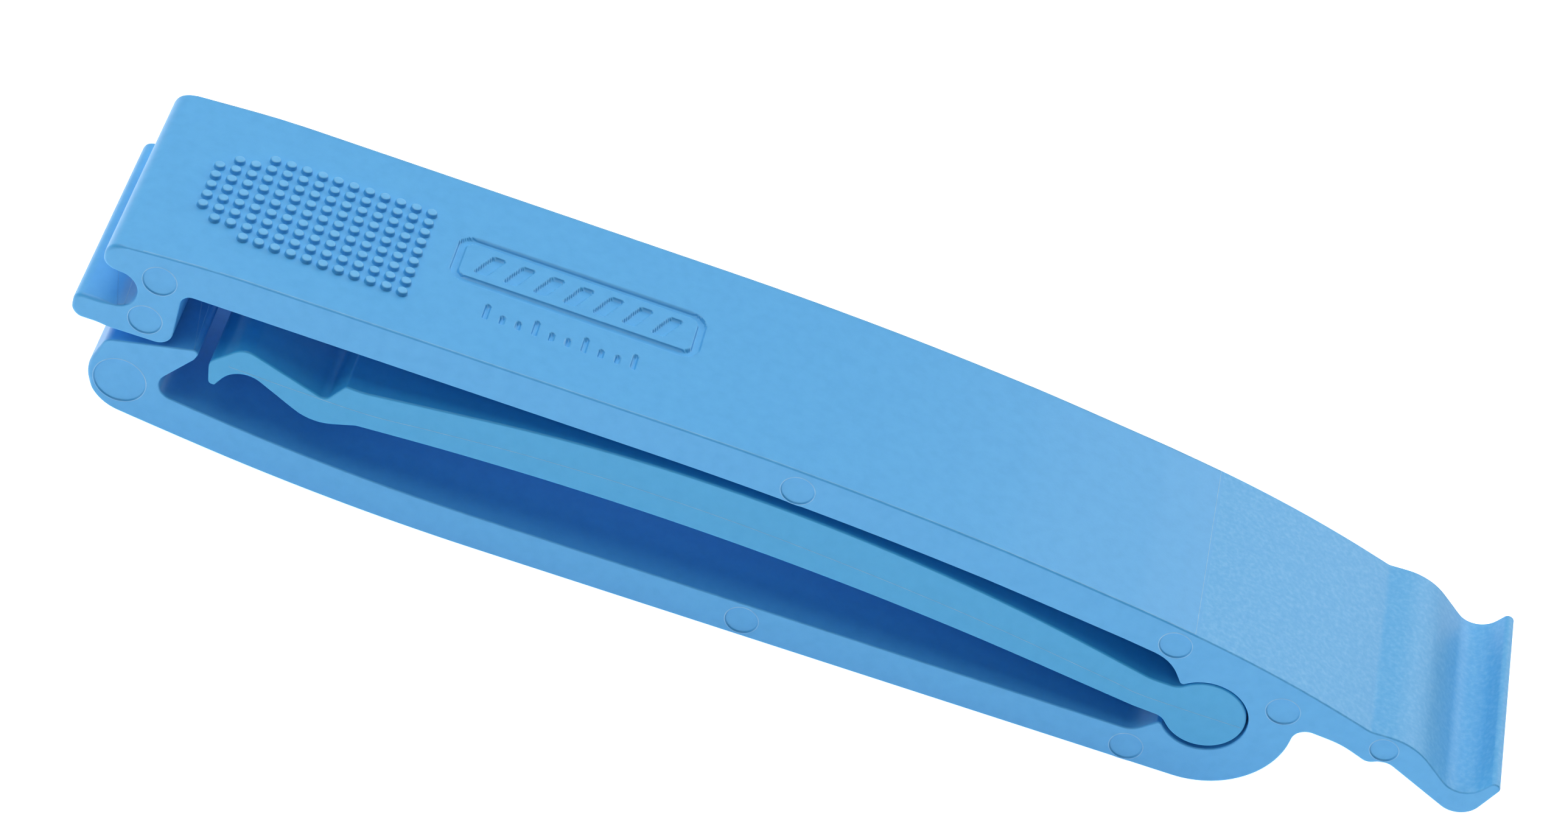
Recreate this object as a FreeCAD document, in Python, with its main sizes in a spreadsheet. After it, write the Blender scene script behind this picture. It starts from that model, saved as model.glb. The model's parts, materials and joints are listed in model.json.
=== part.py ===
# Hairpin bicycle tyre lever set: an outer hairpin moulding that stores an inner lever.
#
# The outer moulding is two springy arms joined by a round head. The head carries the tyre hook on
# one side and, inside the hairpin, a C-shaped socket. The lower arm is the flat foot of the tool and
# the upper arm ends in a leg with a spoke slot. The inner lever hangs in the socket by its bulb.
#
# Frame: X along the tool towards the tyre hook, Y across its width, Z up. The origin is at the
# bottom centre of the whole tool, so the lower arm's flat underside lies on z = 0. Millimetres.
import FreeCAD, Part
import math
import os
import Sketcher

SIZES = [
    # alias, value, what it is
    ("length", 140.0, "overall length along X"),
    ("width", 24.0, "width of every moulding along Y"),
    ("wall", 4.0, "thickness of both arms"),
    # round head and socket
    ("socket_x", 41.6, "socket axis, along X"),
    ("socket_z", 8.45, "socket axis, height"),
    ("socket_radius", 4.2, "inside radius of the C-shaped socket"),
    ("head_x", 41.2, "axis of the head's round outside, along X"),
    ("head_radius", 8.85, "outside radius of the head under the socket"),
    ("lip_round", 0.35, "rounding of the two socket lips"),
    # flexure between the head and the upper arm
    ("flex_x", 21.0, "flexure axis, along X"),
    ("flex_z", 17.95, "flexure axis, height"),
    ("flex_radius", 1.6, "round tongue at the end of the upper arm"),
    ("flex_play", 0.05, "gap between the tongue and its cup"),
    ("shoulder_gap", 0.5, "gap between the arm's shoulders and the head at rest"),
    # upper arm, leg and spoke slot
    ("leg_bottom", 12.45, "height of the leg's lower face"),
    ("leg_inside", -60.3, "face of the leg towards the inner lever"),
    ("upper_lip_x", -68.1, "end of the lip above the spoke slot"),
    ("slot_top", 19.3, "upper side of the spoke slot"),
    ("slot_radius", 2.0, "half the height of the spoke slot, which ends round"),
    ("slot_end", -64.35, "deepest point of the spoke slot"),
    ("arm_under", 18.95, "underside of the upper arm beside the leg"),
    # inner lever
    ("bulb_radius", 3.95, "radius of the lever's bulb"),
    ("bulb_z", 8.6, "height of the bulb's axis"),
    ("neck_short", 1.6, "how far the neck's outline stops short of the bulb's axis"),
    ("neck_round", 1.6, "rounding between the lever's neck and its bulb"),
    # picking the edges to round
    ("edge_search", 0.7, "how near an edge must lie to the place where it is looked for"),
]

doc = FreeCAD.newDocument("TyreLeverSet")
sheet = doc.addObject("Spreadsheet::Sheet", "Sizes")
for row, (alias, value, meaning) in enumerate(SIZES, start=1):
    sheet.set(f"A{row}", meaning)
    sheet.set(f"B{row}", str(value))
    sheet.setAlias(f"B{row}", alias)
doc.recompute()

size = {alias: float(sheet.get(alias)) for alias, value, meaning in SIZES}


# ---------------------------------------------------------------- sketch helpers

def origin_plane(body, role):
    for feature in body.Origin.OriginFeatures:
        if feature.Role == role:
            return feature
    raise ValueError(role)


def side_sketch(body, name):
    """A sketch on the body's XZ plane: its own x runs along X and its own y runs up Z."""
    sketch = body.newObject("Sketcher::SketchObject", name)
    sketch.AttachmentSupport = [(origin_plane(body, "XZ_Plane"), "")]
    sketch.MapMode = "FlatFace"
    return sketch


def rounded_corner(before, corner, after, radius):
    """Where an arc of this radius meets both sides of a corner, and the arc itself."""
    point = FreeCAD.Vector(corner[0], corner[1], 0)
    back = (FreeCAD.Vector(before[0], before[1], 0) - point).normalize()
    ahead = (FreeCAD.Vector(after[0], after[1], 0) - point).normalize()
    half_angle = back.getAngle(ahead) / 2
    reach = radius / math.tan(half_angle)
    enter = point + back * reach
    leave = point + ahead * reach
    centre = point + (back + ahead).normalize() * (radius / math.sin(half_angle))
    turns_left = back.cross(ahead).z < 0
    first, last = (enter, leave) if turns_left else (leave, enter)
    start = math.atan2(first.y - centre.y, first.x - centre.x)
    end = math.atan2(last.y - centre.y, last.x - centre.x)
    circle = Part.Circle(centre, FreeCAD.Vector(0, 0, 1), radius)
    return enter, leave, Part.ArcOfCircle(circle, start, end), turns_left


def draw_outline(sketch, corners):
    """A closed outline through corners (x, z, radius). A radius may be the name of a size."""
    count = len(corners)
    arcs = []
    for number, (x, z, radius) in enumerate(corners):
        rounding = size[radius] if isinstance(radius, str) else radius
        before = corners[number - 1]
        after = corners[(number + 1) % count]
        arcs.append(rounded_corner(before, (x, z), after, rounding))
    ends = []
    for number, (enter, leave, arc, turns_left) in enumerate(arcs):
        arc_id = sketch.addGeometry(arc, False)
        line_id = sketch.addGeometry(Part.LineSegment(leave, arcs[(number + 1) % count][0]), False)
        ends.append((arc_id, 1 if turns_left else 2, 2 if turns_left else 1, line_id))
    for number, (arc_id, entry, leaving, line_id) in enumerate(ends):
        following = ends[(number + 1) % count]
        sketch.addConstraint(Sketcher.Constraint("Coincident", arc_id, leaving, line_id, 1))
        sketch.addConstraint(Sketcher.Constraint("Coincident", line_id, 2, following[0], following[1]))
        radius = corners[number][2]
        if isinstance(radius, str):
            rule = sketch.addConstraint(Sketcher.Constraint("Radius", arc_id, size[radius]))
            sketch.setExpression(f"Constraints[{rule}]", f"Sizes.{radius}")


def draw_circle(sketch, x, z, radius, radius_rule=None):
    """A circle whose centre is at the sizes named x and z, and whose radius is a named size."""
    centre = FreeCAD.Vector(size[x], size[z], 0)
    value = size[radius] + (size[radius_rule] if radius_rule else 0.0)
    circle = sketch.addGeometry(Part.Circle(centre, FreeCAD.Vector(0, 0, 1), value), False)
    rules = [
        (Sketcher.Constraint("DistanceX", -1, 1, circle, 3, size[x]), f"Sizes.{x}"),
        (Sketcher.Constraint("DistanceY", -1, 1, circle, 3, size[z]), f"Sizes.{z}"),
        (Sketcher.Constraint("Radius", circle, value), f"Sizes.{radius}"),
    ]
    for constraint, expression in rules:
        rule = sketch.addConstraint(constraint)
        if radius_rule and constraint.Type == "Radius":
            expression = f"{expression} + Sizes.{radius_rule}"
        sketch.setExpression(f"Constraints[{rule}]", expression)


def pad(body, sketch, name):
    feature = body.newObject("PartDesign::Pad", name)
    feature.Profile = sketch
    feature.SideType = "Symmetric"
    feature.setExpression("Length", "Sizes.width")
    return feature


def pocket(body, sketch, name):
    feature = body.newObject("PartDesign::Pocket", name)
    feature.Profile = sketch
    feature.SideType = "Symmetric"
    feature.setExpression("Length", "Sizes.width * 2")
    return feature


def edges_across(feature, x, z, reach):
    """The straight edges along Y that pass within reach of the point (x, z)."""
    found = []
    for number, edge in enumerate(feature.Shape.Edges, start=1):
        middle = edge.CenterOfMass
        box = edge.BoundBox
        runs_across = box.YLength > size["width"] / 2 and box.XLength < 1e-4 and box.ZLength < 1e-4
        if runs_across and math.hypot(middle.x - x, middle.z - z) < reach:
            found.append(f"Edge{number}")
    return found


def fillet(body, base, name, edges, radius):
    feature = body.newObject("PartDesign::Fillet", name)
    feature.Base = (base, edges)
    feature.setExpression("Radius", f"Sizes.{radius}")
    return feature


# ---------------------------------------------------------------- lower arm, head and tyre hook

right = size["length"] / 2
left = -right
head_right = size["head_x"] + size["head_radius"]
cup_edge = size["flex_x"]
foot_bend = (-42.5, 0.0)             # where the foot starts to curl up towards its tip
foot_rise = math.tan(math.radians(7.7))
inner_bend_x = foot_bend[0] + 0.3    # the same bend on the upper side of the lower arm
catch_left = -68.65                  # the thick catch at the tip of the lower arm
catch_root_x = -61.7                 # where the upper side turns up into the catch


def foot_height(x):
    return foot_bend[1] + foot_rise * (foot_bend[0] - x)


hook_arm = doc.addObject("PartDesign::Body", "hook_arm")
hook_arm.Label = "hook_arm"
hook_outline = side_sketch(hook_arm, "HookArmOutline")
draw_outline(hook_outline, [
    # underside of the foot and the round head
    (catch_left, foot_height(catch_left), 4.2),
    (foot_bend[0], foot_bend[1], 220.0),
    (head_right, 0.0, "head_radius"),
    # underside of the tyre hook, with its stop bump
    (head_right, 10.7, 1.5),
    (54.5, 10.35, 8.0),
    (57.5, 9.2, 1.2),
    (58.95, 10.15, 1.8),
    (68.0, 5.77, 2.4),
    # upturned nose and the groove for the tyre bead
    (right, 10.9, 0.5),
    (right, 11.6, 0.6),
    (69.1, 11.6, 0.5),
    (67.0, 8.1, 2.4),
    (60.75, 13.25, 6.4),
    (56.5, 13.05, 1.4),
    # top of the head up to the flexure
    (45.9, 16.5, 124.0),
    (32.0, 18.6, 60.0),
    (cup_edge, 20.0, 0.02),
    # underside of the head, and the two lips of the socket
    (cup_edge, 15.93, 0.02),
    (32.0, 14.55, 60.0),
    (36.6, 13.85, 4.0),
    (39.2, 10.2, 0.2),
    (39.2, 7.25, 0.2),
    (36.0, size["wall"], 2.2),
    # upper side of the lower arm and its catch
    (inner_bend_x, size["wall"], 200.0),
    (catch_root_x, size["wall"] + foot_rise * (inner_bend_x - catch_root_x), 1.5),
    (-57.85, 11.8, 1.0),
    (-57.35, 13.15, 0.45),
    (-66.2, 10.95, 1.2),
])
hook_pad = pad(hook_arm, hook_outline, "HookArmPad")
socket_sketch = side_sketch(hook_arm, "SocketCircle")
draw_circle(socket_sketch, "socket_x", "socket_z", "socket_radius")
socket_cut = pocket(hook_arm, socket_sketch, "Socket")
cup_sketch = side_sketch(hook_arm, "FlexureCup")
draw_circle(cup_sketch, "flex_x", "flex_z", "flex_radius", "flex_play")
cup_cut = pocket(hook_arm, cup_sketch, "FlexureCupCut")
doc.recompute()
upper_lip = (38.4, 11.2)
lower_lip = (38.1, 6.1)
lip_edges = []
for lip_x, lip_z in (upper_lip, lower_lip):
    lip_edges += edges_across(cup_cut, lip_x, lip_z, size["edge_search"])
lip_fillet = fillet(hook_arm, cup_cut, "LipRounding", lip_edges, "lip_round")
doc.recompute()


# ---------------------------------------------------------------- upper arm with the spoke slot

spoke_arm = doc.addObject("PartDesign::Body", "spoke_arm")
spoke_arm.Label = "spoke_arm"
spoke_outline = side_sketch(spoke_arm, "SpokeArmOutline")
shoulder = size["flex_x"] - size["shoulder_gap"]
hair = 0.001                         # keeps the slot's two round corners from touching
slot_bottom = size["slot_top"] - 2 * size["slot_radius"] - hair
draw_outline(spoke_outline, [
    # leg, spoke slot and the two lips beside it
    (left, size["leg_bottom"], 1.25),
    (size["leg_inside"], size["leg_bottom"], 1.5),
    (size["leg_inside"], size["arm_under"], 1.05),
    # underside and top of the arm
    (1.5, 17.98, 390.0),
    (shoulder, 15.98, 0.02),
    (shoulder, 20.05, 0.02),
    (2.9, 21.93, 380.0),
    (-58.0, 22.92, 90.0),
    (size["upper_lip_x"], 22.25, 1.6),
    (size["upper_lip_x"], size["slot_top"], 1.15),
    (size["slot_end"], size["slot_top"], "slot_radius"),
    (size["slot_end"], slot_bottom, "slot_radius"),
    (left, slot_bottom, 1.0),
])
spoke_pad = pad(spoke_arm, spoke_outline, "SpokeArmPad")
tongue_sketch = side_sketch(spoke_arm, "FlexureTongue")
draw_circle(tongue_sketch, "flex_x", "flex_z", "flex_radius")
tongue_pad = pad(spoke_arm, tongue_sketch, "FlexureTonguePad")
doc.recompute()


# ---------------------------------------------------------------- inner lever

inner_lever = doc.addObject("PartDesign::Body", "inner_lever")
inner_lever.Label = "inner_lever"
lever_outline = side_sketch(inner_lever, "LeverOutline")
neck_end = size["socket_x"] - size["neck_short"]
draw_outline(lever_outline, [
    # long bowed blade, lower side
    (-41.9, 10.2, 0.3),
    (-7.6, 12.6, 320.0),
    (35.0, 6.93, 12.0),
    (neck_end, 6.6, 0.2),
    (neck_end, 10.85, 0.2),
    # upper side, back towards the tip
    (35.6, 10.95, 4.0),
    (12.3, 16.43, 180.0),
    (-18.4, 17.35, 160.0),
    (-42.2, 14.4, 10.0),
    (-43.7, 14.5, 0.35),
    # thin hooked tip
    (-45.2, 12.15, 0.9),
    (-53.6, 15.1, 1.8),
    (-56.55, 12.2, 1.5),
    (-56.1, 9.6, 0.38),
    (-55.5, 9.62, 0.3),
    (-53.7, 12.85, 2.6),
    (-46.0, 8.8, 4.8),
])
lever_pad = pad(inner_lever, lever_outline, "LeverPad")
bulb_sketch = side_sketch(inner_lever, "BulbCircle")
draw_circle(bulb_sketch, "socket_x", "bulb_z", "bulb_radius")
bulb_pad = pad(inner_lever, bulb_sketch, "BulbPad")
doc.recompute()
upper_neck = (38.3, 10.9)
lower_neck = (38.2, 6.65)
neck_edges = []
for neck_x, neck_z in (upper_neck, lower_neck):
    neck_edges += edges_across(bulb_pad, neck_x, neck_z, size["edge_search"])
neck_fillet = fillet(inner_lever, bulb_pad, "NeckRounding", neck_edges, "neck_round")
doc.recompute()


# ---------------------------------------------------------------- check and write

for item in doc.Objects:
    if "Invalid" in item.State or "Error" in item.State:
        raise RuntimeError(f"{item.Name}: {item.State}")

for cut, before in ((socket_cut, hook_pad), (cup_cut, socket_cut)):
    if cut.Shape.Volume > before.Shape.Volume - 1.0:
        raise RuntimeError(f"{cut.Name} removed nothing")

os.makedirs("parts", exist_ok=True)
for body in (hook_arm, spoke_arm, inner_lever):
    shape = body.Shape
    if shape.isNull() or not shape.isValid() or len(shape.Solids) != 1:
        raise RuntimeError(f"{body.Label}: not one valid solid")
    shape.exportStep(f"parts/{body.Label}.step")
    box = shape.BoundBox
    print(
        f"{body.Label}: volume {shape.Volume:.0f} mm3,",
        f"x {box.XMin:.2f}..{box.XMax:.2f}, y {box.YMin:.2f}..{box.YMax:.2f},",
        f"z {box.ZMin:.2f}..{box.ZMax:.2f}",
    )
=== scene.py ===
"""Looks of the hairpin tyre lever set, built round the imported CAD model.

Every moulding is drawn again from its CAD outline, with the rounded edges, pin marks, grip pips,
witness lines and fine flash of a real injection moulding. Lengths below are in millimetres and are
turned into metres where a mesh is made. X runs along the tool, Y across it and Z up.
"""

import json
import math

import bpy
from mathutils import Matrix, Vector, geometry


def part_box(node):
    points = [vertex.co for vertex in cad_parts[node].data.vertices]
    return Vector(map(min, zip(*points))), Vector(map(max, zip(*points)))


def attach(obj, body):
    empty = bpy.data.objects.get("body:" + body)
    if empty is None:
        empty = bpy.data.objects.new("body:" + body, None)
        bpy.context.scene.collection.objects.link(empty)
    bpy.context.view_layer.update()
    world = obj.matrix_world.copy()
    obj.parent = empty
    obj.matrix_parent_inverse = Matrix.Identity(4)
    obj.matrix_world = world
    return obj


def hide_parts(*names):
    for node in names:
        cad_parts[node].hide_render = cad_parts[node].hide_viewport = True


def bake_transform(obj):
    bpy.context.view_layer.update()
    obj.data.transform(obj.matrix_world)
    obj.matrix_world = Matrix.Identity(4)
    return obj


MM = 0.001

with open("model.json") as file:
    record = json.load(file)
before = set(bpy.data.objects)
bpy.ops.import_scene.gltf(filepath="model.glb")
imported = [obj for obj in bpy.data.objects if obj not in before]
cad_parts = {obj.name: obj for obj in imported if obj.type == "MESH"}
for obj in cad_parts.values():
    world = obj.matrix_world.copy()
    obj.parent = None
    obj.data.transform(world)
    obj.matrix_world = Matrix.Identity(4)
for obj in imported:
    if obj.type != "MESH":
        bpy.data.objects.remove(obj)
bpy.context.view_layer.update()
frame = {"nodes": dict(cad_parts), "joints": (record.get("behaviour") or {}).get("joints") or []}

# Places worked out from the frame
flex = next(joint for joint in frame["joints"] if joint["name"] == "arm_flex")
pivot = Vector(flex["pos_m"]) / MM
half_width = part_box("hook_arm")[1].y / MM

# How finely the meshes are divided
LEAST_STEP = 0.05          # outline points nearer together than this count as one
STEP = 0.6                 # longest side of a face along an outline
FINE_STEP = 0.15           # the same where the emblem is sunk into the top face
TURN = math.radians(8)     # largest turn from one face to the next
ROUND_STEPS = 4            # faces across a rounded edge
TINY = 1e-3                # lengths and turns smaller than this count as none

# Rounded edges
CRISP_ROUND = 0.16         # edge rounding of most of the hairpin
SOFT_ROUND = 0.4           # edge rounding at the tips of its two arms
LEVER_ROUND = 0.2          # edge rounding of the inner lever
LEAST_ROUND = 0.06         # edge rounding beside a pin mark that touches the edge
MARK_ROOM = 0.16           # flat face that a pin mark keeps round itself
CORNER_SHARE = 0.75        # share of an outward corner's own radius that the rounding may take
THIN_SHARE = 0.34          # share of the thickness of a thin place that the rounding may take
THIN_RANGE = (0.3, 3.0)    # thicknesses that count as thin
ROUND_SPREAD = 0.25        # change of the rounding per length along the edge

# Regions of the hairpin
SEAM_X = pivot.x + 13.0    # where the hairpin's mesh changes from the hook arm's piece to the upper arm's piece
CUP_REACH = 2.2            # radius that holds the CAD's tongue and cup, which the skin leaves out
UPPER_ABOVE = pivot.z - 5.0  # a height between the lower and the upper arm
HOOK_FROM = 56.0           # where the top face ends and the hook begins
INSERT_X = (-66.5, 37.7)   # ends of the mould insert that makes the top face
INSERT_Y = half_width - CRISP_ROUND - 0.03  # distance of its long edges from the middle
COARSE_SHEEN_ABOVE = 9.0         # the coarser finish beyond the insert, with its painted sheen, lies above the socket's axis

# The emblem: a plain framed row of slanted bars, and a row of ticks below it, seen from above
EMBLEM_X = (-39.6, -12.6)  # stretch of the top face that carries them
EMBLEM_Y = (-6.6, 4.8)
EMBLEM_ABOVE = pivot.z + 2.5  # only the top face lies this high there
EMBLEM_DEPTH = 0.32
EMBLEM_WALL = 0.17         # width of the sunk shapes' soft walls
FRAME_X = -26.0            # middle of the frame
FRAME_Y = 1.2
FRAME_HALF = (12.2, 3.2)
FRAME_CORNER = 1.7
FRAME_LINE = 0.75
BARS = 7
BAR_PITCH = 2.9
BAR_HALF = (0.62, 1.45)
BAR_CORNER = 0.25
BAR_LEAN = 0.45
TICKS = 10
TICK_PITCH = 1.6
TICK_LEFT = FRAME_X - 7.6
TICK_FOOT = -6.1           # where every tick starts
TICK_LONG = 1.0            # half the length of every third tick
TICK_SHORT = 0.55          # half the length of the others
TICK_HALF = 0.22
TICK_CORNER = 0.2


# ---------------------------------------------------------------- outlines

def side_outline(node):
    """The closed outline (x, z) of a CAD node's near side face, anticlockwise as seen from -Y."""
    mesh = frame["nodes"][node].data
    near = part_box(node)[0].y
    sides = set()  # directed edges of the face: those between two of its polygons cancel out
    for polygon in mesh.polygons:
        corners = [mesh.vertices[index].co for index in polygon.vertices]
        if any(abs(corner.y - near) > 1e-6 for corner in corners):
            continue
        places = [(round(corner.x / MM, 4), round(corner.z / MM, 4)) for corner in corners]
        for first, second in zip(places, places[1:] + places[:1]):
            if (second, first) in sides:
                sides.remove((second, first))
            elif first != second:
                sides.add((first, second))
    following = dict(sides)
    outline = [min(following)]
    while following[outline[-1]] != outline[0]:
        outline.append(following[outline[-1]])
    spaced = []
    for place in outline:
        if not spaced or (Vector(place) - spaced[-1]).length > LEAST_STEP:
            spaced.append(Vector(place))
    return spaced


def away_from(outline, centre, reach):
    """The run of an outline that stays out of a circle, starting where it leaves the circle."""
    clear = [(point - centre).length > reach for point in outline]
    start = next(i for i in range(len(outline)) if clear[i] and not clear[i - 1])
    turned = outline[start:] + outline[:start]
    return [point for point in turned if (point - centre).length > reach]


def with_crossings(outline, x, above):
    """The outline with a point added wherever it crosses x above a height."""
    result = []
    for first, second in zip(outline, outline[1:] + outline[:1]):
        result.append(first)
        if (first.x - x) * (second.x - x) < 0:
            place = first.lerp(second, (x - first.x) / (second.x - first.x))
            if place.y > above:
                result.append(place)
    return result


def in_emblem(place):
    """Whether a place on the outline lies on the part of the top face that carries the emblem."""
    return EMBLEM_X[0] < place.x < EMBLEM_X[1] and place.y > EMBLEM_ABOVE


def smooth_outline(points):
    """A smooth closed curve through the points: a list of (place, outward normal)."""
    count = len(points)
    tangents = [(points[(i + 1) % count] - points[i - 1]).normalized() for i in range(count)]
    curve = []
    for i in range(count):
        first, second = points[i], points[(i + 1) % count]
        leaving, arriving = tangents[i], tangents[(i + 1) % count]
        length = (second - first).length
        turn = leaving.angle(arriving)
        reach = length / 3
        if turn > TINY:  # the reach that makes the curve follow an arc
            reach = length * math.tan(turn / 4) * 2 / (3 * math.sin(turn / 2))
        a, b = first + leaving * reach, second - arriving * reach
        step = FINE_STEP if in_emblem(first) or in_emblem(second) else STEP
        pieces = math.ceil(max(length / step, turn / TURN, 1))
        for number in range(pieces):
            t = number / pieces
            u = 1 - t
            place = first * u**3 + a * (3 * u * u * t) + b * (3 * u * t * t) + second * t**3
            along = (a - first) * u * u + (b - a) * (2 * u * t) + (second - b) * t * t
            curve.append((place, Vector((along.y, -along.x)).normalized()))
    return curve


def hairpin_rounding(x):
    """The hairpin's edges are crisp, and softer at the tips of its two arms."""
    return SOFT_ROUND if x < INSERT_X[0] else CRISP_ROUND


def edge_rounding(curve, wanted, marks):
    """The rounding at each point of a curve: smaller at tight corners, thin places and pin marks."""
    count = len(curve)
    places = [place for place, normal in curve]
    radii = []
    for i, (place, normal) in enumerate(curve):
        before, after = places[i - 1], places[(i + 1) % count]
        limit = wanted[i]
        turn = (place - before).angle_signed(after - place, 0.0)
        if turn < -1e-4:  # the outline turns round an outward corner
            corner_radius = (after - before).length / 2 / -turn
            limit = min(limit, CORNER_SHARE * corner_radius)
        for other in places:
            gap = other - place
            inward = -gap.dot(normal)
            facing = inward > 0.8 * gap.length
            if facing and THIN_RANGE[0] < inward < THIN_RANGE[1]:
                limit = min(limit, THIN_SHARE * gap.length)
        for x, z, radius in marks:
            room = (place - Vector((x, z))).length - radius - MARK_ROOM
            limit = min(limit, max(room, LEAST_ROUND))
        radii.append(limit)

    # Twice round each way, so that the rounding changes slowly along the whole closed curve
    for order in (range(2 * count), range(2 * count, 0, -1)):
        for i in order:
            last = (i - order.step) % count
            spread = radii[last] + ROUND_SPREAD * (places[i % count] - places[last]).length
            radii[i % count] = min(radii[i % count], spread)
    return radii


# ---------------------------------------------------------------- mesh building

class MeshBuilder:
    """Collects points in millimetres and faces, and makes one object of them."""

    def __init__(self):
        self.points = []
        self.normals = []
        self.faces = []
        self.finishes = {}     # other materials than the main one, by face number

    def point(self, place, normal):
        """Adds a point with the normal that its shading uses, and gives its number."""
        self.points.append(place * MM)
        self.normals.append(normal.normalized())
        return len(self.points) - 1

    def grid(self, rows, closed=False, material=None):
        """Faces between rows of point numbers, all of the same length."""
        for first, second in zip(rows, rows[1:]):
            count = len(first)
            steps = count if closed else count - 1
            for i in range(steps):
                j = (i + 1) % count
                if material:
                    self.finishes[len(self.faces)] = material
                self.faces.append((first[i], first[j], second[j], second[i]))

    def finish(self, name, material):
        """The object, with the main material and the other finishes of its faces."""
        mesh = bpy.data.meshes.new(name)
        mesh.from_pydata(self.points, [], self.faces)
        mesh.shade_smooth()
        mesh.normals_split_custom_set_from_vertices(self.normals)
        materials = [material] + list(dict.fromkeys(self.finishes.values()))
        for used in materials:
            mesh.materials.append(used)
        for number, used in self.finishes.items():
            mesh.polygons[number].material_index = materials.index(used)
        piece = bpy.data.objects.new(name, mesh)
        bpy.context.scene.collection.objects.link(piece)
        return piece


RIDGE_HALF = 0.05
RIDGE_HEIGHT = 0.03
RIDGE_ROOT = 0.02          # depth of a ridge's sides under the surface


def fine_ridge(builder, route):
    """A thin raised line along a route of (place, surface normal)."""
    rows = []
    for i, (place, normal) in enumerate(route):
        before = route[max(i - 1, 0)][0]
        after = route[min(i + 1, len(route) - 1)][0]
        aside = (after - before).cross(normal).normalized()
        lift = normal * RIDGE_HEIGHT
        sunk = normal * RIDGE_ROOT
        rows.append([
            builder.point(place - aside * RIDGE_HALF - sunk, normal - aside),
            builder.point(place + lift, normal),
            builder.point(place + aside * RIDGE_HALF - sunk, normal + aside),
        ])
    builder.grid(rows, material=pale_flash)


def rounded_box(x, y, half_x, half_y, corner):
    """Distance from a point to a rounded rectangle round the origin, negative inside it."""
    across = max(abs(x) - half_x + corner, 0.0)
    along = max(abs(y) - half_y + corner, 0.0)
    inside = min(max(abs(x) - half_x, abs(y) - half_y) + corner, 0.0)
    return math.hypot(across, along) + inside - corner


def emblem_distance(x, y):
    """Distance to the nearest sunk shape, negative inside it."""
    frame_outside = rounded_box(x - FRAME_X, y - FRAME_Y, *FRAME_HALF, FRAME_CORNER)
    shapes = [max(frame_outside, -(frame_outside + FRAME_LINE))]
    lean = BAR_LEAN * (y - FRAME_Y)
    for number in range(BARS):
        bar_x = FRAME_X + (number - BARS // 2) * BAR_PITCH
        shapes.append(rounded_box(x - bar_x - lean, y - FRAME_Y, *BAR_HALF, BAR_CORNER))
    for number in range(TICKS):
        tick_x = TICK_LEFT + number * TICK_PITCH
        length = TICK_LONG if number % 3 == 0 else TICK_SHORT
        tick_y = TICK_FOOT + length
        shapes.append(rounded_box(x - tick_x, y - tick_y, TICK_HALF, length, TICK_CORNER))
    return min(shapes)


def emblem_depth(x, y):
    """Depth of the sunk shapes, with soft walls."""
    t = min(max(0.5 - emblem_distance(x, y) / EMBLEM_WALL, 0.0), 1.0)
    return EMBLEM_DEPTH * t * t * (3 - 2 * t)


def emblem_column(builder, station, near, far):
    """One row of points across the top face, sunk where the emblem is."""
    place, normal = station
    count = round((EMBLEM_Y[1] - EMBLEM_Y[0]) / FINE_STEP)
    aside = 0.03
    column = [near]
    up = Vector((normal.x, 0, normal.y))
    for number in range(count + 1):
        x = place.x
        y = EMBLEM_Y[0] + (EMBLEM_Y[1] - EMBLEM_Y[0]) * number / count
        depth = emblem_depth(x, y)
        slope_x = (emblem_depth(x + aside, y) - emblem_depth(x - aside, y)) / (2 * aside)
        slope_y = (emblem_depth(x, y + aside) - emblem_depth(x, y - aside)) / (2 * aside)
        spot = Vector((place.x, y, place.y)) - up * depth
        column.append(builder.point(spot, up + Vector((slope_x, slope_y, 0))))
    return column + [far]


# Rings of a pin mark: distance outside its radius, height above the face, and lean of the surface
MARK_RIM = [(0.10, 0.0, 0.0), (0.07, 0.03, 0.4), (0.03, 0.03, -0.4)]
MARK_GROOVE = [(0.03, 0.03, -0.4), (0.0, -0.05, -1.6), (-0.05, -0.11, -1.0), (-0.12, -0.10, 0.0)]
MARK_SIDES = 48


def mark_ring(builder, mark, side, spread, height, lean):
    """One ring of points of a pin mark."""
    x, z, radius = mark
    face_normal = Vector((0, side, 0))
    centre = Vector((x, side * (half_width + height), z))
    ring = []
    for number in range(MARK_SIDES):
        angle = -side * 2 * math.pi * number / MARK_SIDES
        outward = Vector((math.cos(angle), 0, math.sin(angle)))
        spot = centre + outward * (radius + spread)
        ring.append(builder.point(spot, face_normal + outward * lean))
    return ring


def pin_mark(builder, mark, side):
    """A round ejector-pin mark: a fine pale rim and a groove round a sunk disc. Returns its outer ring."""
    rim = [mark_ring(builder, mark, side, *shape) for shape in MARK_RIM]
    groove = [mark_ring(builder, mark, side, *shape) for shape in MARK_GROOVE]
    builder.grid(rim, closed=True, material=pale_flash)
    builder.grid(groove, closed=True)
    builder.faces.append(tuple(groove[-1]))
    return rim[0]


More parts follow.
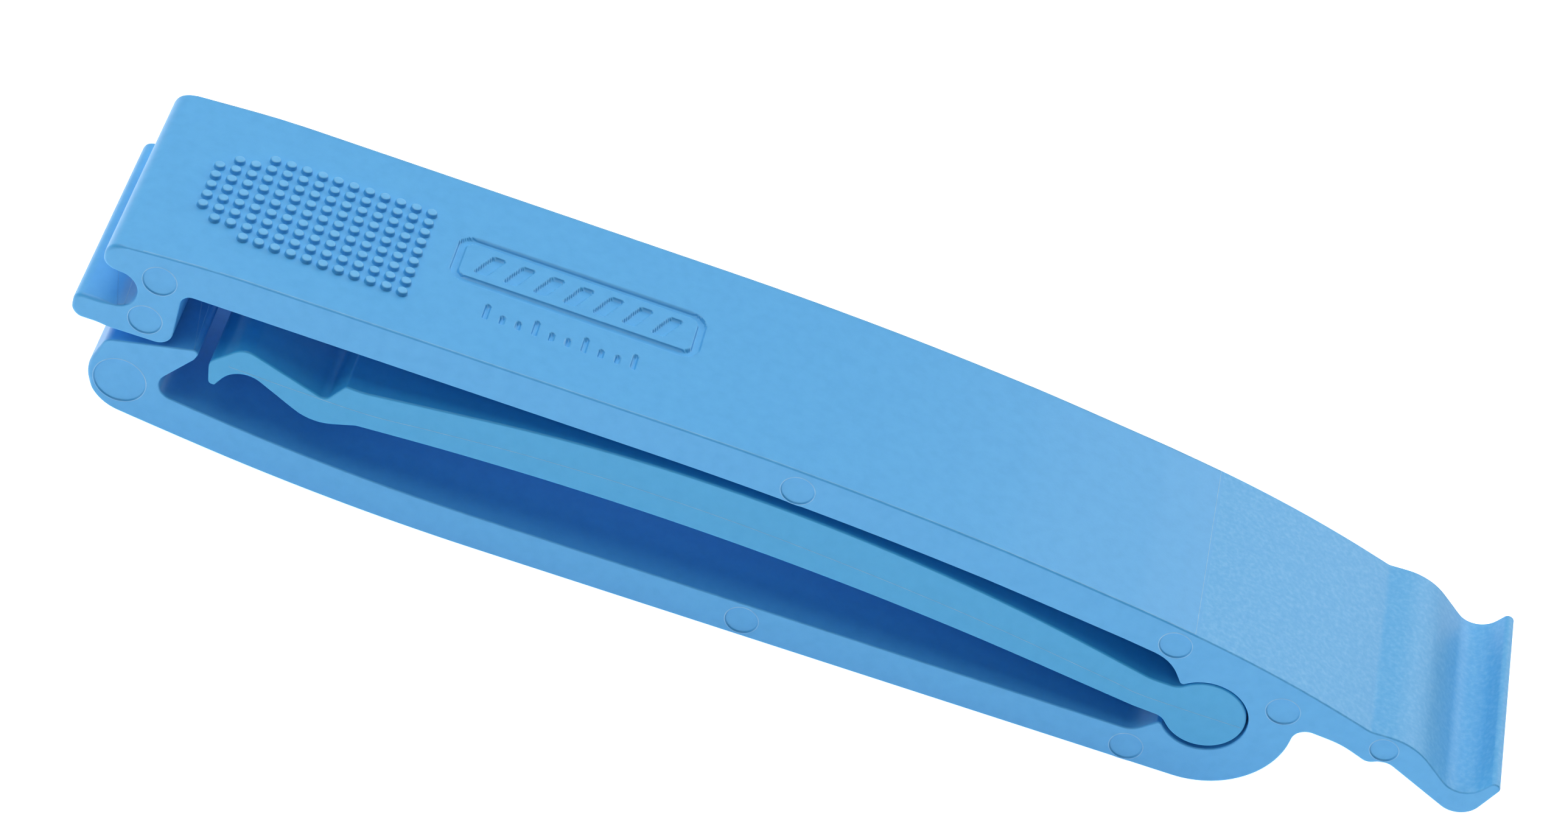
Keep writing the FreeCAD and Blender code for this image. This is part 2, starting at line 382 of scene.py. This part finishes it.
def fill_side(builder, outline, holes, side):
    """Flat faces inside an outline of point numbers and outside its round holes."""
    face_normal = Vector((0, side, 0))
    numbers = list(outline)
    hole_of = {number: i for i, hole in enumerate(holes) for number in hole}
    edges = [(i, (i + 1) % len(outline)) for i in range(len(outline))]
    for hole in holes:
        base = len(numbers)
        numbers += hole
        edges += [(base + i, base + (i + 1) % len(hole)) for i in range(len(hole))]
    flat = [Vector((builder.points[n].x / MM, builder.points[n].z / MM)) for n in numbers]
    inside_constraints = 2
    filled = geometry.delaunay_2d_cdt(flat, edges, [], inside_constraints, 1e-5)
    places, triangles, origins = filled[0], filled[2], filled[3]

    # The number of each place: a given point's, or a new one's where two given edges cross
    known = []
    for place, origin in zip(places, origins):
        if origin:
            known.append(numbers[origin[0]])
        else:
            spot = Vector((place.x, side * half_width, place.y))
            known.append(builder.point(spot, face_normal))
    for triangle in triangles:
        corners = [known[i] for i in triangle]
        touched = {hole_of.get(corner) for corner in corners}
        if len(touched) == 1 and None not in touched:
            continue
        a, b, c = (places[i] for i in triangle)
        anticlockwise = (b - a).cross(c - a) > 0
        if anticlockwise != (side < 0):
            corners.reverse()
        builder.faces.append(tuple(corners))


def moulding(builder, curve, radii, marks):
    """A straight moulding: the curve swept across the width, with rounded edges on both sides."""
    rows = []
    for side in (-1, 1):
        run = []
        for step in range(ROUND_STEPS + 1):
            angle = math.pi / 2 * step / ROUND_STEPS
            row = []
            for (place, normal), radius in zip(curve, radii):
                spot = place - normal * radius * (1 - math.sin(angle))
                y = side * (half_width - radius * (1 - math.cos(angle)))
                facing = normal * math.sin(angle)
                tilted = Vector((facing.x, side * math.cos(angle), facing.y))
                row.append(builder.point(Vector((spot.x, y, spot.y)), tilted))
            run.append(row)
        rows.append(run)
    builder.grid(rows[0][::-1], closed=True)
    builder.grid(rows[1], closed=True)
    sweep_wall(builder, curve, rows[0][-1], rows[1][-1])
    # The pin marks are on the near side only
    for side, outline in ((-1, rows[0][0]), (1, rows[1][0])):
        holes = [pin_mark(builder, mark, side) for mark in marks if side < 0]
        fill_side(builder, outline, holes, side)


def sweep_wall(builder, curve, near, far):
    """The faces across the width, from the near row of points to the far row."""
    count = len(curve)
    carved = [i for i in range(count) if in_emblem(curve[i][0])]
    columns = {i: emblem_column(builder, curve[i], near[i], far[i]) for i in carved}
    for i in range(count):
        j = (i + 1) % count
        here = columns.get(i, [near[i], far[i]])
        there = columns.get(j, [near[j], far[j]])
        if len(here) == len(there):
            for (a, b), (c, d) in zip(zip(here, here[1:]), zip(there, there[1:])):
                builder.faces.append((a, b, d, c))
        else:
            builder.faces.append(tuple(here + there[::-1]))


# ---------------------------------------------------------------- materials

def nylon(name, face, shade, pale, roughness, speckle=900.0):
    """Moulded nylon: soft satin, a little translucent, mottled from shade to pale, finely grained."""
    material = bpy.data.materials.new(name)
    material.use_nodes = True
    nodes, links = material.node_tree.nodes, material.node_tree.links
    shader = nodes["Principled BSDF"]
    shader.inputs["Roughness"].default_value = roughness
    shader.inputs["Subsurface Weight"].default_value = 0.12
    shader.inputs["Subsurface Radius"].default_value = (0.0006, 0.0012, 0.002)
    shader.inputs["IOR"].default_value = 1.5
    place = nodes.new("ShaderNodeTexCoord")
    mottle = nodes.new("ShaderNodeTexNoise")
    mottle.inputs["Scale"].default_value = speckle
    mottle.inputs["Detail"].default_value = 4.0
    links.new(place.outputs["Object"], mottle.inputs["Vector"])
    ramp = nodes.new("ShaderNodeValToRGB")
    ramp.color_ramp.elements[0].position = 0.3
    ramp.color_ramp.elements[0].color = (*shade, 1.0)
    ramp.color_ramp.elements[1].position = 0.75
    ramp.color_ramp.elements[1].color = (*pale, 1.0)
    middle = ramp.color_ramp.elements.new(0.5)
    middle.color = (*face, 1.0)
    links.new(mottle.outputs["Fac"], ramp.inputs["Fac"])
    links.new(ramp.outputs["Color"], shader.inputs["Base Color"])
    grain = nodes.new("ShaderNodeTexNoise")
    grain.inputs["Scale"].default_value = 4000.0
    grain.inputs["Detail"].default_value = 3.0
    links.new(place.outputs["Object"], grain.inputs["Vector"])
    bump = nodes.new("ShaderNodeBump")
    bump.inputs["Strength"].default_value = 0.15
    bump.inputs["Distance"].default_value = 0.00004
    links.new(grain.outputs["Fac"], bump.inputs["Height"])
    links.new(bump.outputs["Normal"], shader.inputs["Normal"])
    return material


outer_nylon = nylon(
    "outer_nylon",
    face=(0.077, 0.400, 0.785),
    shade=(0.070, 0.382, 0.760),
    pale=(0.084, 0.418, 0.805),
    roughness=0.42,
)
lever_nylon = nylon(
    "lever_nylon",
    face=(0.038, 0.362, 0.700),
    shade=(0.034, 0.350, 0.683),
    pale=(0.042, 0.374, 0.716),
    roughness=0.40,
)
# The coarser mould finish of the head and hook: real rougher grain, and a paler tone that is painted sheen
coarse_and_sheen_nylon = nylon(
    "coarse_and_sheen_nylon",
    face=(0.104, 0.428, 0.795),
    shade=(0.082, 0.398, 0.772),
    pale=(0.150, 0.482, 0.830),
    roughness=0.5,
    speckle=2200.0,
)
# Paler nylon for the pips' tops: a painted highlight where the overhead light falls on them
painted_pip_highlight = nylon(
    "painted_pip_highlight",
    face=(0.130, 0.470, 0.830),
    shade=(0.115, 0.450, 0.810),
    pale=(0.150, 0.490, 0.850),
    roughness=0.38,
)
# Thin nylon squeezed between the parts of the mould, which looks paler
pale_flash = nylon(
    "pale_flash",
    face=(0.24, 0.52, 0.82),
    shade=(0.18, 0.47, 0.79),
    pale=(0.34, 0.60, 0.86),
    roughness=0.5,
)


# ---------------------------------------------------------------- the outer hairpin

HOOK_MARKS = [
    # x, z, radius of each pin mark on the lower arm, head and hook
    (-64.1, 6.6, 2.49),
    (-2.1, 1.95, 1.57),
    (36.1, 1.8, 1.57),
    (36.4, 15.8, 1.52),
    (48.2, 12.1, 1.57),
    (58.4, 11.4, 1.32),
]
SPOKE_MARKS = [
    # the same on the upper arm and its leg
    (-62.6, 19.7, 1.58),
    (-63.1, 14.7, 1.58),
    (-1.4, 19.5, 1.57),
]

# The outlines of both arms, without the tongue and cup between them, make one closed outline
flex_centre = Vector((pivot.x, pivot.z))
joined = away_from(side_outline("hook_arm"), flex_centre, CUP_REACH)
joined += away_from(side_outline("spoke_arm"), flex_centre, CUP_REACH)
joined = with_crossings(joined, SEAM_X, UPPER_ABOVE)
hairpin = smooth_outline(joined)
hairpin_wanted = [hairpin_rounding(place.x) for place, normal in hairpin]
hairpin_radii = edge_rounding(hairpin, hairpin_wanted, HOOK_MARKS + SPOKE_MARKS)

# The hairpin's outline is cut in two at the seam, above and below the upper arm
seam = [i for i, (place, normal) in enumerate(hairpin)
        if abs(place.x - SEAM_X) < TINY and place.y > UPPER_ABOVE]
top_seam = max(seam, key=lambda i: hairpin[i][0].y)
under_seam = min(seam, key=lambda i: hairpin[i][0].y)


def run_between(items, first, last):
    """The items of a closed list from first round to last, both included."""
    if first <= last:
        return items[first:last + 1]
    return items[first:] + items[:last + 1]


def top_station(x):
    """The place on the hairpin's top face at x, and the outward normal there."""
    facing_up = [(place, normal) for place, normal in hairpin if normal.y > 0.8]
    upper = [pair for pair in facing_up if pair[0].y > UPPER_ABOVE and pair[0].x < HOOK_FROM]
    right = min((pair for pair in upper if pair[0].x >= x), key=lambda pair: pair[0].x)
    left = max((pair for pair in upper if pair[0].x < x), key=lambda pair: pair[0].x)
    share = (x - left[0].x) / (right[0].x - left[0].x)
    return left[0].lerp(right[0], share), left[1].lerp(right[1], share).normalized()


def insert_line(builder, first_x, last_x, y):
    """A fine raised line along the top face, where the mould's insert meets the rest of the mould."""
    count = max(round(abs(last_x - first_x) / STEP), 1)
    route = []
    for number in range(count + 1):
        place, normal = top_station(first_x + (last_x - first_x) * number / count)
        route.append((Vector((place.x, y, place.y)), Vector((normal.x, 0, normal.y))))
    fine_ridge(builder, route)


def insert_end(builder, x):
    """The same fine line across the top face."""
    place, normal = top_station(x)
    up = Vector((normal.x, 0, normal.y))
    fine_ridge(builder, [(Vector((place.x, y, place.y)), up) for y in (-INSERT_Y, 0.0, INSERT_Y)])


def on_coarse_sheened_top(builder, corner):
    """Whether a point lies on the top of the head and hook, which have a coarser mould finish and, on
    their upward faces, a paler painted sheen.
    """
    point = builder.points[corner] / MM
    on_top = point.z > COARSE_SHEEN_ABOVE and builder.normals[corner].z > 0.35
    return on_top and point.x > INSERT_X[1]


hook_builder = MeshBuilder()
moulding(
    hook_builder,
    run_between(hairpin, under_seam, top_seam),
    run_between(hairpin_radii, under_seam, top_seam),
    HOOK_MARKS,
)
# The upward faces of the head and hook get the coarse nylon, whose paler tone there is painted sheen
for number, face in enumerate(hook_builder.faces):
    if all(on_coarse_sheened_top(hook_builder, corner) for corner in face):
        hook_builder.finishes[number] = coarse_and_sheen_nylon
for edge in (-INSERT_Y, INSERT_Y):
    insert_line(hook_builder, SEAM_X, INSERT_X[1], edge)
insert_end(hook_builder, INSERT_X[1])
hook_body = hook_builder.finish("hook_arm_skin", outer_nylon)
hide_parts("hook_arm")
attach(hook_body, "hook_arm")

spoke_builder = MeshBuilder()
moulding(
    spoke_builder,
    run_between(hairpin, top_seam, under_seam),
    run_between(hairpin_radii, top_seam, under_seam),
    SPOKE_MARKS,
)
for edge in (-INSERT_Y, INSERT_Y):
    insert_line(spoke_builder, INSERT_X[0], SEAM_X, edge)
insert_end(spoke_builder, INSERT_X[0])
spoke_body = spoke_builder.finish("spoke_arm_skin", outer_nylon)
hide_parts("spoke_arm")
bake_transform(spoke_body)


# ---------------------------------------------------------------- grip pips on the upper arm

PIP_ROWS = [9] * 11 + [7, 7, 5]  # pips in each column, from the emblem's end to the arm's tip
PIP_PITCH_X = 1.535
PIP_PITCH_Y = 1.5
PIP_RIGHT = -41.5          # place of the first column
PIP_MIDDLE_Y = -0.45
PIP_PROFILE = [
    # radius, height above the face, and how far the surface leans outwards, ring by ring
    (0.58, -0.02, 0.8),
    (0.54, 0.06, 2.5),
    (0.52, 0.29, 3.0),
    (0.46, 0.36, 0.9),
    (0.34, 0.38, 0.1),
]
PIP_SIDES = 16


def add_pip(builder, x, y):
    """A round pip standing on the top face, whose top carries a painted highlight in paler nylon."""
    place, normal = top_station(x)
    up = Vector((normal.x, 0, normal.y))
    along = Vector((normal.y, 0, -normal.x))
    rings = []
    for radius, height, lean in PIP_PROFILE:
        ring = []
        for number in range(PIP_SIDES):
            angle = 2 * math.pi * number / PIP_SIDES
            outward = along * math.cos(angle) + Vector((0, math.sin(angle), 0))
            centre = Vector((place.x, y, place.y)) + up * height
            ring.append(builder.point(centre + outward * radius, up + outward * lean))
        rings.append(ring)
    builder.grid(rings[:-1], closed=True)
    # The top ring and the cap carry the painted highlight
    builder.grid(rings[-2:], closed=True, material=painted_pip_highlight)
    builder.finishes[len(builder.faces)] = painted_pip_highlight
    builder.faces.append(tuple(rings[-1]))


pip_builder = MeshBuilder()
for column, rows in enumerate(PIP_ROWS):
    for row in range(rows):
        add_pip(
            pip_builder,
            PIP_RIGHT - column * PIP_PITCH_X,
            PIP_MIDDLE_Y + (row - (rows - 1) / 2) * PIP_PITCH_Y,
        )
pips = pip_builder.finish("grip_pips", outer_nylon)
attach(pips, "spoke_arm")


# ---------------------------------------------------------------- the inner lever

LEVER_PARTING = [
    # x, z along the parting line on the lever's side
    (-54.6, 12.4), (-48.0, 12.15), (-41.0, 12.05), (-35.0, 12.6), (-25.0, 13.4), (-13.7, 13.65),
    (0.0, 13.1), (16.5, 11.54), (31.6, 9.27), (35.7, 8.6), (45.2, 8.5),
]


def parting_route(points, side):
    """A smooth run through the points, lying on a side face."""
    face_normal = Vector((0, side, 0))
    last = len(points) - 1
    route = []
    for i in range(last):
        before = Vector(points[max(i - 1, 0)])
        first, second = Vector(points[i]), Vector(points[i + 1])
        after = Vector(points[min(i + 2, last)])
        pieces = math.ceil((second - first).length / STEP)
        stops = pieces + 1 if i + 1 == last else pieces
        for number in range(stops):
            t = number / pieces
            bend = first * 2 + (second - before) * t
            bend += (before * 2 - first * 5 + second * 4 - after) * t * t
            bend += (first * 3 - before - second * 3 + after) * t**3
            route.append((Vector((bend.x / 2, side * half_width, bend.y / 2)), face_normal))
    return route


lever_curve = smooth_outline(side_outline("inner_lever"))
lever_radii = edge_rounding(lever_curve, [LEVER_ROUND] * len(lever_curve), [])
lever_builder = MeshBuilder()
moulding(lever_builder, lever_curve, lever_radii, [])
fine_ridge(lever_builder, parting_route(LEVER_PARTING, -1))
lever_skin = lever_builder.finish("inner_lever_skin", lever_nylon)
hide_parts("inner_lever")
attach(lever_skin, "inner_lever")


# ---------------------------------------------------------------- floor, light and camera

FLOOR_REACH = 3.0          # metres
FLOOR_GLOW = 0.88
WORLD_DIM = 0.06           # brightness of the room in front of the tool, beside it and above it
WORLD_BRIGHT = 0.8         # the same behind it
LIGHTS = [
    # name, place, width, height (all in metres) and power
    ("overhead", (-0.25, 0.06, 0.72), 0.8, 0.5, 3.6),
    ("sheen", (0.64, 0.90, 0.60), 0.6, 0.6, 3.6),
    ("front", (-0.1, -0.75, 0.75), 0.5, 0.3, 0.6),
]
CAMERA_PLACE = (-22.65, -334.36, 303.08)
CAMERA_RIGHT = (0.94990, 0.17127, 0.26147)
CAMERA_UP = (-0.30984, 0.62630, 0.71537)
CAMERA_LENS = 107.75


def floor_material():
    """White paper over a light table, so that it glows a little."""
    material = bpy.data.materials.new("floor_white")
    material.use_nodes = True
    shader = material.node_tree.nodes["Principled BSDF"]
    shader.inputs["Base Color"].default_value = (0.9, 0.9, 0.9, 1.0)
    shader.inputs["Roughness"].default_value = 0.9
    shader.inputs["Emission Color"].default_value = (1.0, 1.0, 1.0, 1.0)
    shader.inputs["Emission Strength"].default_value = FLOOR_GLOW
    return material


def add_floor():
    """A large white floor under the tool."""
    mesh = bpy.data.meshes.new("floor")
    turns = [(-1, -1), (1, -1), (1, 1), (-1, 1)]
    corners = [(x * FLOOR_REACH, y * FLOOR_REACH, 0) for x, y in turns]
    mesh.from_pydata(corners, [], [(0, 1, 2, 3)])
    mesh.materials.append(floor_material())
    floor = bpy.data.objects.new("floor", mesh)
    bpy.context.scene.collection.objects.link(floor)


def add_area_light(name, place, width, height, power):
    """A rectangular light that faces the tool."""
    light = bpy.data.lights.new(name, "AREA")
    light.shape = "RECTANGLE"
    light.size = width
    light.size_y = height
    light.energy = power
    lamp = bpy.data.objects.new(name, light)
    bpy.context.scene.collection.objects.link(lamp)
    lamp.location = place
    lamp.rotation_euler = (-Vector(place)).to_track_quat("-Z", "Y").to_euler()


def add_world():
    """A room that is dim all round the tool, but bright behind it."""
    world = bpy.data.worlds.new("studio")
    world.use_nodes = True
    nodes, links = world.node_tree.nodes, world.node_tree.links
    background = nodes["Background"]
    background.inputs["Strength"].default_value = 1.0
    direction = nodes.new("ShaderNodeTexCoord")
    parts = nodes.new("ShaderNodeSeparateXYZ")
    ramp = nodes.new("ShaderNodeValToRGB")
    ramp.color_ramp.elements[0].position = 0.0
    ramp.color_ramp.elements[0].color = (WORLD_DIM, WORLD_DIM, WORLD_DIM, 1.0)
    ramp.color_ramp.elements[1].position = 0.5
    ramp.color_ramp.elements[1].color = (WORLD_BRIGHT, WORLD_BRIGHT, WORLD_BRIGHT, 1.0)
    links.new(direction.outputs["Generated"], parts.inputs["Vector"])
    links.new(parts.outputs["Y"], ramp.inputs["Fac"])
    links.new(ramp.outputs["Color"], background.inputs["Color"])
    bpy.context.scene.world = world


def add_camera():
    """The camera stands in front, to the left and above, and is rolled so that the tool slopes down."""
    camera = bpy.data.objects.new("camera", bpy.data.cameras.new("camera"))
    bpy.context.scene.collection.objects.link(camera)
    camera.data.sensor_width = 36.0
    camera.data.lens = CAMERA_LENS
    camera.data.clip_start = 0.01
    right = Vector(CAMERA_RIGHT)
    up = Vector(CAMERA_UP)
    back = right.cross(up)
    turn = Matrix((right, up, back)).transposed().to_4x4()
    camera.matrix_world = Matrix.Translation(Vector(CAMERA_PLACE) * MM) @ turn
    bpy.context.scene.camera = camera


add_floor()
add_world()
for light_facts in LIGHTS:
    add_area_light(*light_facts)
add_camera()
bpy.context.scene.view_settings.view_transform = "Standard"
